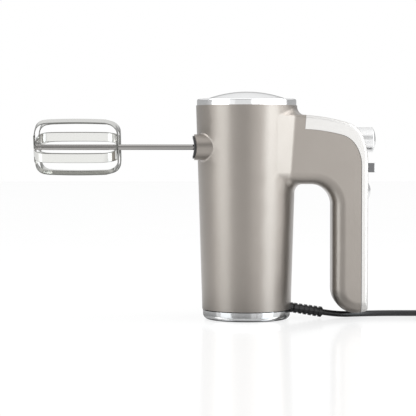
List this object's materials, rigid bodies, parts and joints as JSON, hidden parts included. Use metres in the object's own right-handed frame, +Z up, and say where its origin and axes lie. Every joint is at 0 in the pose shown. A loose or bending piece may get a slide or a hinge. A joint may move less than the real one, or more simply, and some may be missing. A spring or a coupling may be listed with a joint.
{
  "type": "hand mixer",
  "caption": "Upright hand mixer with a tapered round body, a closed side handle, looped wire beaters, and eject, speed and turbo controls; it stands on its chromed heel.",
  "frame": {"origin": "centre of the heel's flat face, on the motor's axis, where the mixer stands", "axes": "+Z up along the motor's axis; the beaters point along -X and the handle is on +X"},
  "size_m": [0.4369, 0.1433, 0.2042],
  "materials": {
    "casing": "champagne metallic paint, satin",
    "trim": "silver paint, satin",
    "plated": "bright plated",
    "beater": "polished stainless steel",
    "collar": "black, fine texture",
    "screw": "zinc plated",
    "frame": "die cast",
    "bearing": "sintered bronze",
    "insulator": "moulded phenolic",
    "copper": "enamelled copper wire",
    "carbon": "pressed carbon",
    "lamination": "stacked steel sheet",
    "steel": "ground steel",
    "gear": "acetal",
    "spring": "spring steel",
    "inner_plastic": "moulded",
    "board": "glass-fibre laminate",
    "button": "silver paint, glossy",
    "cable": "black PVC, glossy",
    "pin": "nickel-plated brass"
  },
  "bodies": {
    "housing": {"housing_left": "casing", "housing_right": "casing", "handle_trim": "trim", "top_ring": "plated", "top_cap": "plated", "heel_cap": "plated", "heel_screws": "screw", "ring_screws": "screw", "socket_collar_left": "collar", "socket_collar_right": "collar", "gearbox_frame": "frame", "spindle_bushes": "bearing", "shaft_bearings": "bearing", "motor_bracket": "frame", "brush_plate": "insulator", "brush_holders": "bearing", "carbon_brushes": "carbon", "brush_springs": "spring", "motor_screws": "screw", "stator_core": "lamination", "field_coil_left": "copper", "field_coil_right": "copper", "speed_switch": "inner_plastic", "control_board": "board", "turbo_switch": "inner_plastic", "turbo_spring": "spring", "eject_spring": "spring", "cord_clamp": "inner_plastic", "inner_cord": "cable", "internal_wires": "cable", "strain_relief": "cable", "mains_cord": "cable", "cord_coil": "cable", "plug_body": "cable", "plug_pins": "pin"},
    "armature": {"armature_shaft": "steel", "armature_core": "lamination", "armature_windings": "copper", "commutator": "copper", "cooling_fan": "inner_plastic", "drive_worm": "steel"},
    "wheel_left": {"drive_wheel_left": "gear", "spindle_left": "steel"},
    "wheel_right": {"drive_wheel_right": "gear", "spindle_right": "steel"},
    "ejector_left": {"ejector_rod_left": "steel"},
    "ejector_right": {"ejector_rod_right": "steel"},
    "beater_left": {"beater_shank_left": "beater", "outer_loop_left": "beater", "inner_loop_left": "beater"},
    "beater_right": {"beater_shank_right": "beater", "outer_loop_right": "beater", "inner_loop_right": "beater"},
    "eject": {"eject_button": "button", "ejector_yoke": "inner_plastic"},
    "speed": {"speed_slider": "collar", "speed_cap": "plated"},
    "turbo": {"turbo_button": "button"}
  },
  "joints": [
    {"name": "armature_spin", "type": "hinge", "parent": "housing", "child": "armature", "pos_m": [0, 0, 0.1], "axis": [0, 0, 1], "continuous": true},
    {"name": "wheel_left_spin", "type": "hinge", "parent": "housing", "child": "wheel_left", "pos_m": [0, -0.021, 0.1544], "axis": [1, 0, 0], "continuous": true},
    {"name": "wheel_right_spin", "type": "hinge", "parent": "housing", "child": "wheel_right", "pos_m": [0, 0.021, 0.1544], "axis": [1, 0, 0], "continuous": true},
    {"name": "eject_press", "type": "slide", "parent": "housing", "child": "eject", "axis": [-1, 0, 0], "range_m": [0, 0.007], "stiffness_N_per_m": 400, "springref_m": -0.005, "deforming": ["eject_spring"]},
    {"name": "ejector_left_slide", "type": "slide", "parent": "wheel_left", "child": "ejector_left", "axis": [-1, 0, 0], "range_m": [0, 0.007]},
    {"name": "ejector_right_slide", "type": "slide", "parent": "wheel_right", "child": "ejector_right", "axis": [-1, 0, 0], "range_m": [0, 0.007]},
    {"name": "beater_left_pull", "type": "slide", "parent": "ejector_left", "child": "beater_left", "axis": [-1, 0, 0], "range_m": [0, 0.056]},
    {"name": "beater_right_pull", "type": "slide", "parent": "ejector_right", "child": "beater_right", "axis": [-1, 0, 0], "range_m": [0, 0.056]},
    {"name": "speed_select", "type": "slide", "parent": "housing", "child": "speed", "axis": [0, 1, 0], "range_m": [0, 0.018]},
    {"name": "turbo_press", "type": "slide", "parent": "housing", "child": "turbo", "axis": [-1, 0, 0], "range_m": [0, 0.002], "stiffness_N_per_m": 800, "springref_m": -0.002, "deforming": ["turbo_spring"]}
  ],
  "couplings": [
    {"joint": "wheel_left_spin", "follows": "armature_spin", "ratio": -0.083333},
    {"joint": "wheel_right_spin", "follows": "armature_spin", "ratio": 0.083333},
    {"joint": "ejector_left_slide", "follows": "eject_press", "ratio": 1},
    {"joint": "ejector_right_slide", "follows": "eject_press", "ratio": 1}
  ]
}
